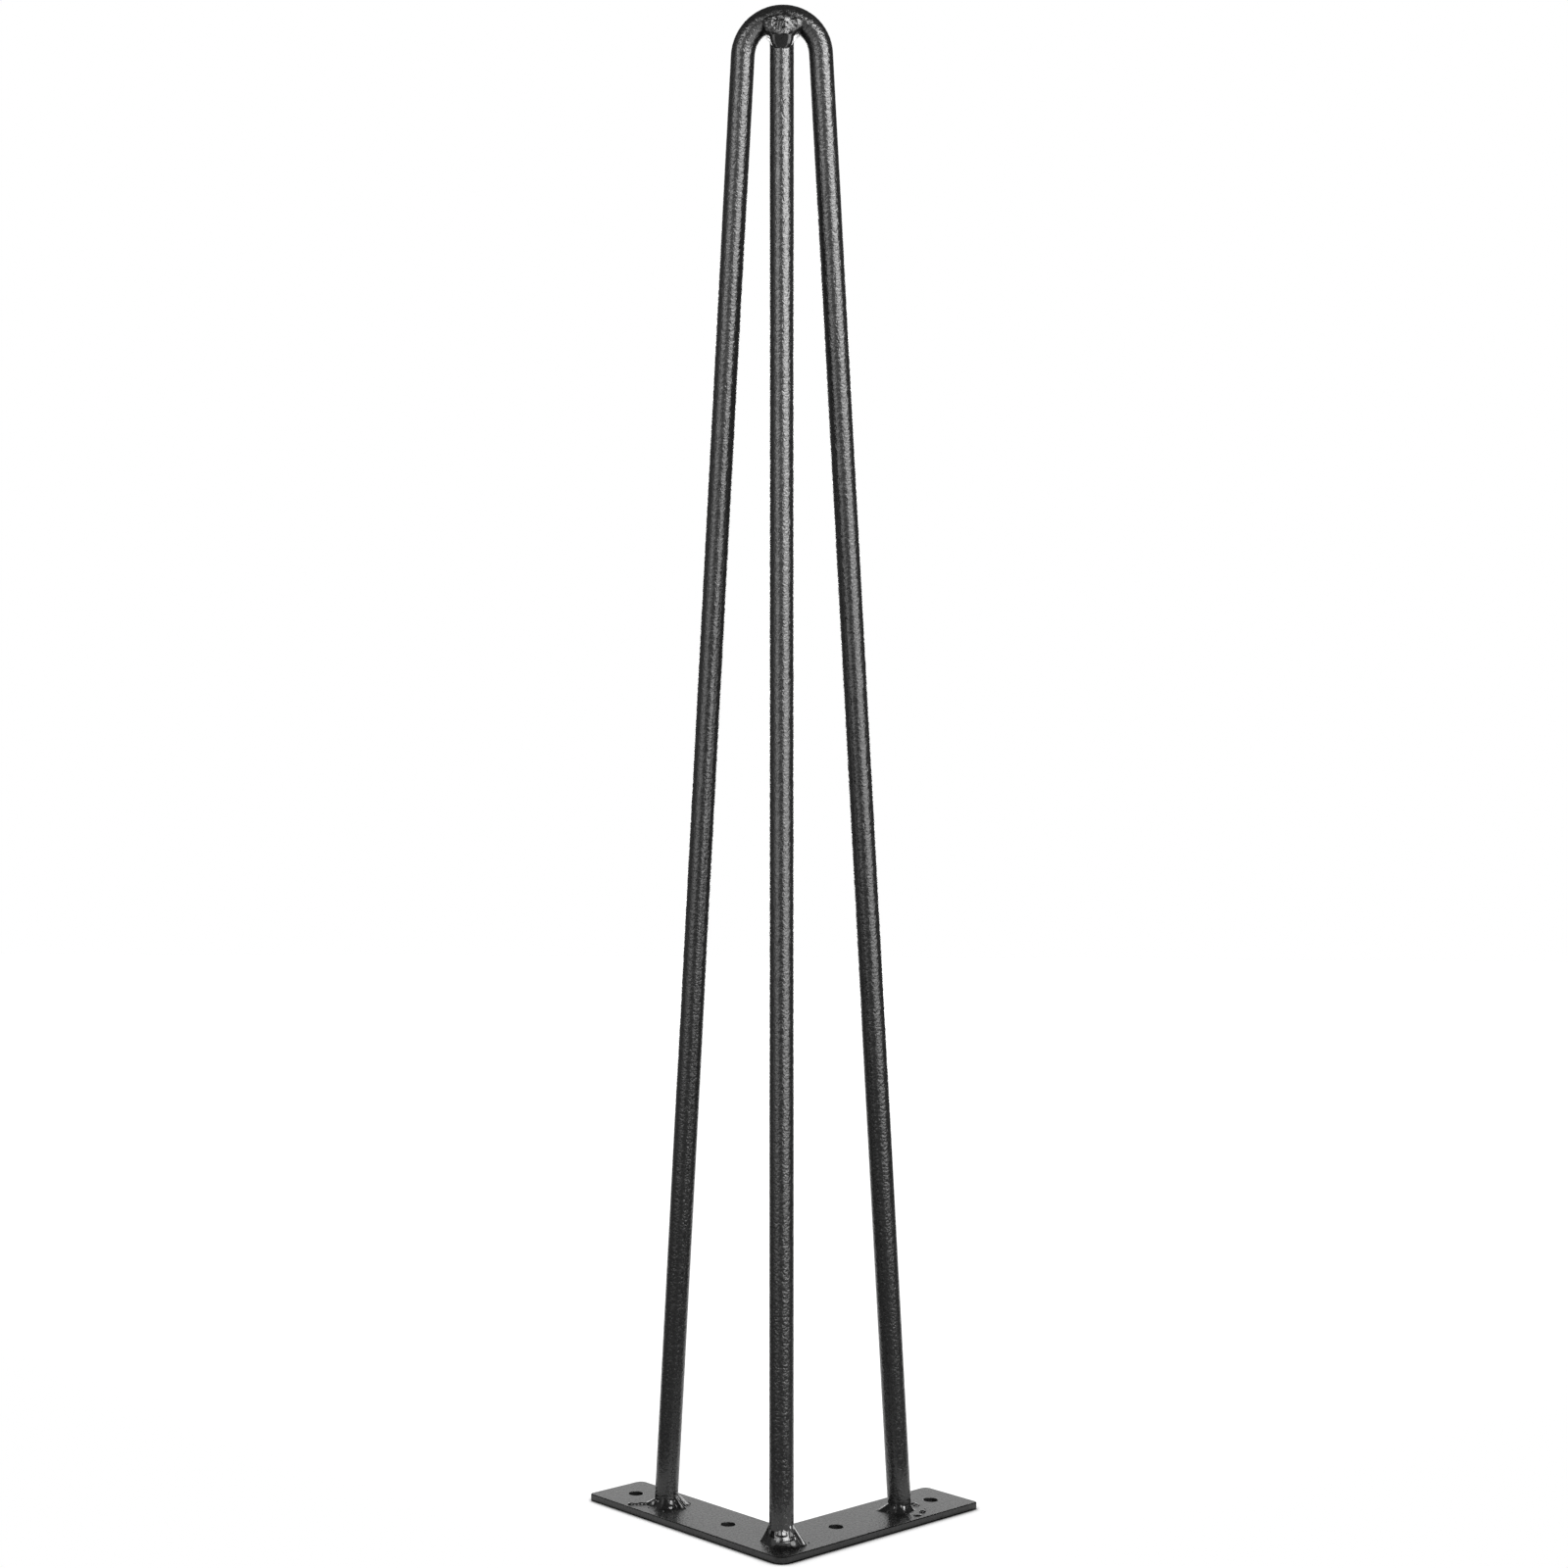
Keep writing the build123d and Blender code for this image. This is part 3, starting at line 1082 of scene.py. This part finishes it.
def spatter_places():
    """Fine drops that the welding threw round the three beads."""
    seed = 5
    drops_a_bead = 9
    reach = 5 * MM
    nearest_drops = ((LEFT_FOOT, 9 * MM), (RIGHT_FOOT, 9 * MM), (CORNER_FOOT, 11 * MM))
    draw = random.Random(seed)
    places = []
    for foot, nearest in nearest_drops:
        places += scattered(draw, foot, nearest, nearest + reach, drops_a_bead)
    return places


def run_out_places():
    """Row of drops where the weld ran out to the left of the left leg, and a few round the right leg."""
    steps = (11, 13, 14.8, 16.4, 17.8)   # mm to the left of the left leg
    lean = 0.14                          # step to the front for a unit step to the left
    right_drops = ((7.4, 9.2), (8.8, 6.4), (11.4, -4.4), (8.6, -11.2))   # mm from the right leg
    places = [LEFT_FOOT + Vector((-step * MM, -lean * step * MM, 0)) for step in steps]
    places += [RIGHT_FOOT + Vector((x * MM, y * MM, 0)) for x, y in right_drops]
    return places


def nib_places():
    """Specks that the coat caught on the plate's two front edges."""
    nibs = ((-19.2, 2.3), (-64, 3.2), (37, 3.2), (114.2, 0.7))   # mm from the corner along an edge, and up
    corner = PLATE_LOW[1] - CORNER_LOSS * bpy.context.scene.hairpin_leg.plate.outer_corner
    places = []
    for along, level in nibs:
        places.append(Vector((along * DIAGONAL * MM, corner + abs(along) * DIAGONAL * MM, level * MM)))
    return places


class HAIRPIN_LEG_OT_spatter(bpy.types.Operator):
    """Scatters the drops that the welding threw on the plate, and the nibs on the plate's edges."""

    bl_idname = "hairpin_leg.spatter"
    bl_label = "Spatter"

    def execute(self, context):
        tree = spatter_tree()
        on_weld = (weld_coat(), "weld_coat")
        on_plate = (plate_coat(), "plate_coat")
        # Name, places, smallest and largest half sizes in mm, most turn, coat and slot
        groups = [
            ("weld_spatter", spatter_places(), (0.35, 0.35, 0.25), (0.8, 0.7, 0.5), math.pi, *on_weld),
            ("weld_run_out", run_out_places(), (1.7, 1.0, 0.6), (2.3, 1.6, 1.0), 0.4, *on_weld),
            ("edge_nibs", nib_places(), (0.3, 0.3, 0.3), (0.6, 0.5, 0.5), math.pi, *on_plate),
        ]
        for seed, (name, places, smallest, largest, turn, material, slot) in enumerate(groups):
            values = {
                "Smallest": [size * MM for size in smallest],
                "Largest": [size * MM for size in largest],
                "Turn": turn,
                "Seed": seed,
                "Material": material,
            }
            add_piece(name, run_tree(tree, point_cloud(name, places), values), slot)
        return {"FINISHED"}


def white_to_eye(tree):
    """1 for camera, glossy and transmission rays, which see the white background, and 0 for others."""
    path = add_node(tree, "ShaderNodeLightPath").outputs
    eye = add_node(
        tree, "ShaderNodeMath", {0: path["Is Camera Ray"], 1: path["Is Glossy Ray"]}, operation="MAXIMUM"
    )
    both = add_node(
        tree,
        "ShaderNodeMath",
        {0: eye.outputs["Value"], 1: path["Is Transmission Ray"]},
        operation="MAXIMUM",
    )
    return both.outputs["Value"]


def floor_paper():
    """Matt background paper that glows white to the eye, with painted shade where the object is near it."""
    painted_shade_reach = 10 * MM
    dark_below = 0.5    # share of open sky under which the painted shade is full and the paper doesn't glow
    white_above = 0.9   # and over which it glows in full, with no painted shade
    material, tree = new_material("background_paper")
    matt = add_node(tree, "ShaderNodeBsdfDiffuse", {"Color": (*to_linear("#7c7c7c"), 1)})
    # Painted shade: ambient occlusion dims the glow under the plate, in its holes and in a thin line round
    # it
    painted_shade_ao = add_node(tree, "ShaderNodeAmbientOcclusion", {"Distance": painted_shade_reach}, samples=8)
    clear = add_node(
        tree,
        "ShaderNodeMapRange",
        {
            "Value": painted_shade_ao.outputs["AO"],
            "From Min": dark_below,
            "From Max": white_above,
            "To Min": 0.0,
            "To Max": 1.0,
        },
    )
    lift = add_node(
        tree, "ShaderNodeMath", {0: white_to_eye(tree), 1: clear.outputs["Result"]}, operation="MULTIPLY"
    )
    glow = add_node(tree, "ShaderNodeEmission", {"Strength": lift.outputs["Value"]})
    both = add_node(tree, "ShaderNodeAddShader", {0: matt.outputs["BSDF"], 1: glow.outputs["Emission"]})
    add_node(tree, "ShaderNodeOutputMaterial", {"Surface": both.outputs["Shader"]})
    return material


def flag_cloth():
    """Grey cloth of the studio's flags, aprons and drape: the coat mirrors it in place of the white room."""
    material, tree = new_material("flag_cloth")
    matt = add_node(tree, "ShaderNodeBsdfDiffuse", {"Color": (*to_linear("#808080"), 1)})
    add_node(tree, "ShaderNodeOutputMaterial", {"Surface": matt.outputs["BSDF"]})
    return material


def lying(spots, level):
    """Corners of a level card over spots on the floor."""
    return [(x, y, level) for x, y in spots]


def standing(start, end, low, high):
    """Corners of an upright card over a line on the floor."""
    return [(*start, low), (*end, low), (*end, high), (*start, high)]


def add_card(name, corners, material):
    """Flat four-cornered card that belongs to the studio."""
    mesh = bpy.data.meshes.new(name)
    mesh.from_pydata(corners, [], [(0, 1, 2, 3)])
    mesh.materials.append(material)
    card = bpy.data.objects.new(name, mesh)
    bpy.context.scene.collection.objects.link(card)
    return card


def add_floor():
    """Lays the background paper just under the plate."""
    span = 4.0
    below = -0.2 * MM
    corners = lying([(-span, -span), (span, -span), (span, span), (-span, span)], below)
    add_card("studio_floor", corners, floor_paper())


def hang_cloth():
    """Hangs flags beside and over the object, aprons over the floor in front and a drape beyond."""
    side = 0.55
    front = -0.12
    back = 1.1
    top = 1.55
    roof_side = 0.85
    roof_front = -1.30
    apron = 14 * MM
    apron_corner = PLATE_LOW[1] - 16 * MM
    apron_side = 1.2
    apron_back = apron_corner + apron_side   # the aprons run along the plate's two front edges
    apron_front = -3.2
    drape_side = 1.0
    drape_top = 0.4
    roof = [(-roof_side, roof_front), (roof_side, roof_front), (roof_side, back), (-roof_side, back)]
    left = [(0, apron_corner), (-apron_side, apron_back), (-apron_side, apron_front), (0, apron_front)]
    right = [(0, apron_corner), (0, apron_front), (apron_side, apron_front), (apron_side, apron_back)]
    cards = {
        "flag_left": standing((-side, front), (-side, back), apron, top),
        "flag_right": standing((side, front), (side, back), apron, top),
        "flag_top": lying(roof, top),
        "apron_left": lying(left, apron),
        "apron_right": lying(right, apron),
        "drape": standing((-drape_side, apron_front), (drape_side, apron_front), apron, drape_top),
    }
    cloth = flag_cloth()
    for name, corners in cards.items():
        add_card(name, corners, cloth).visible_camera = False


def add_softbox(name, bearing, spread, brightness, panels):
    """Softbox at a bearing from the front, positive to the right, spread as far to each side, in degrees.

    Its panels are (distance, low, high, share of the brightness, turn towards the front in degrees).
    """
    for index, (distance, low, high, share, turn) in enumerate(panels):
        heading = math.radians(bearing) - math.copysign(math.radians(turn), bearing)
        lamp = bpy.data.lights.new(f"{name}_{index}", "AREA")
        lamp.shape = "RECTANGLE"
        lamp.size = 2 * distance * math.tan(math.radians(spread))
        lamp.size_y = high - low
        lamp.energy = math.pi * lamp.size * lamp.size_y * brightness * share
        box = bpy.data.objects.new(lamp.name, lamp)
        bpy.context.scene.collection.objects.link(box)
        box.location = (distance * math.sin(heading), -distance * math.cos(heading), (low + high) / 2)
        box.rotation_euler = (math.pi / 2, 0, heading)
        box.visible_camera = False


def add_softboxes(sizes):
    """Puts up the key to the right, the fill to the left and two softboxes behind."""
    # Distance, low, high, share of the brightness, turn
    front_panels = (
        (1.3, 0.02, 0.25, 0.19, 0),
        (1.3, 0.25, 0.45, 0.20, 0),
        (4.0, 0.60, 1.10, 0.30, 0),
        (4.0, 1.10, 1.50, 0.39, 0),
        (4.0, 1.50, 1.90, 0.57, 0),
        (4.0, 1.90, 2.30, 0.82, 0),
        (4.0, 2.30, 3.15, 0.90, 8),
    )
    back_panels = ((1.6, 0.05, 1.0, 1.0, 0),)
    # Name, bearing, spread, brightness, panels
    softboxes = [
        ("softbox_right", 45, 26, sizes.key_light, front_panels),
        ("softbox_left", -41, 15, sizes.fill_light, front_panels),
        ("softbox_back_right", 159, 5.5, sizes.back_light, back_panels),
        ("softbox_back_left", -159, 5.5, sizes.back_light, back_panels),
    ]
    for softbox in softboxes:
        add_softbox(*softbox)


def set_room(scene, room_light):
    """Makes a room that looks white and throws a dim light."""
    scene.world = bpy.data.worlds.new("studio_room")
    scene.world.use_nodes = True
    tree = scene.world.node_tree
    tree.nodes.clear()
    dim = add_node(tree, "ShaderNodeBackground", {"Color": WHITE, "Strength": room_light})
    white = add_node(tree, "ShaderNodeBackground", {"Color": WHITE, "Strength": 1.0})
    mix = add_node(
        tree,
        "ShaderNodeMixShader",
        {0: white_to_eye(tree), 1: dim.outputs["Background"], 2: white.outputs["Background"]},
    )
    add_node(tree, "ShaderNodeOutputWorld", {"Surface": mix.outputs["Shader"]})


def set_camera(scene, sizes):
    """Sets up the camera level, in front of the object."""
    lens = bpy.data.cameras.new("camera")
    lens.lens = sizes.lens
    lens.sensor_width = 36
    lens.shift_x = sizes.shift
    camera = bpy.data.objects.new("camera", lens)
    scene.collection.objects.link(camera)
    camera.location = sizes.camera_place
    camera.rotation_euler = (math.pi / 2, 0, sizes.camera_turn)
    scene.camera = camera


class HAIRPIN_LEG_OT_studio(bpy.types.Operator):
    """Sets the floor, the cloth, the softboxes, the white room and the camera."""

    bl_idname = "hairpin_leg.studio"
    bl_label = "Studio"

    def execute(self, context):
        scene = context.scene
        sizes = scene.hairpin_leg.studio
        add_floor()
        hang_cloth()
        add_softboxes(sizes)
        set_room(scene, sizes.room_light)
        set_camera(scene, sizes)
        scene.view_settings.view_transform = "Standard"
        return {"FINISHED"}


class HAIRPIN_LEG_PT_panel(bpy.types.Panel):
    """Lists the steps that make the leg."""

    bl_label = "Hairpin Leg"
    bl_space_type = "VIEW_3D"
    bl_region_type = "UI"
    bl_category = "Hairpin Leg"

    def draw(self, context):
        for step in STEPS:
            self.layout.operator(step.bl_idname)


SETTINGS = (RodSizes, PlateSizes, WeldSizes, CoatColours, StudioSizes, LegSettings)
STEPS = (
    HAIRPIN_LEG_OT_rods,
    HAIRPIN_LEG_OT_plate,
    HAIRPIN_LEG_OT_beads,
    HAIRPIN_LEG_OT_crown,
    HAIRPIN_LEG_OT_spatter,
    HAIRPIN_LEG_OT_studio,
)
CLASSES = (*SETTINGS, *STEPS, HAIRPIN_LEG_PT_panel)


def register():
    for cls in CLASSES:
        bpy.utils.register_class(cls)
    bpy.types.Scene.hairpin_leg = PointerProperty(type=LegSettings)


def unregister():
    del bpy.types.Scene.hairpin_leg
    for cls in reversed(CLASSES):
        bpy.utils.unregister_class(cls)


def main():
    """Makes the leg and its studio."""
    register()
    bpy.ops.hairpin_leg.rods()
    bpy.ops.hairpin_leg.plate()
    bpy.ops.hairpin_leg.beads()
    bpy.ops.hairpin_leg.crown()
    bpy.ops.hairpin_leg.spatter()
    bpy.ops.hairpin_leg.studio()


if __name__ == "__main__":
    main()
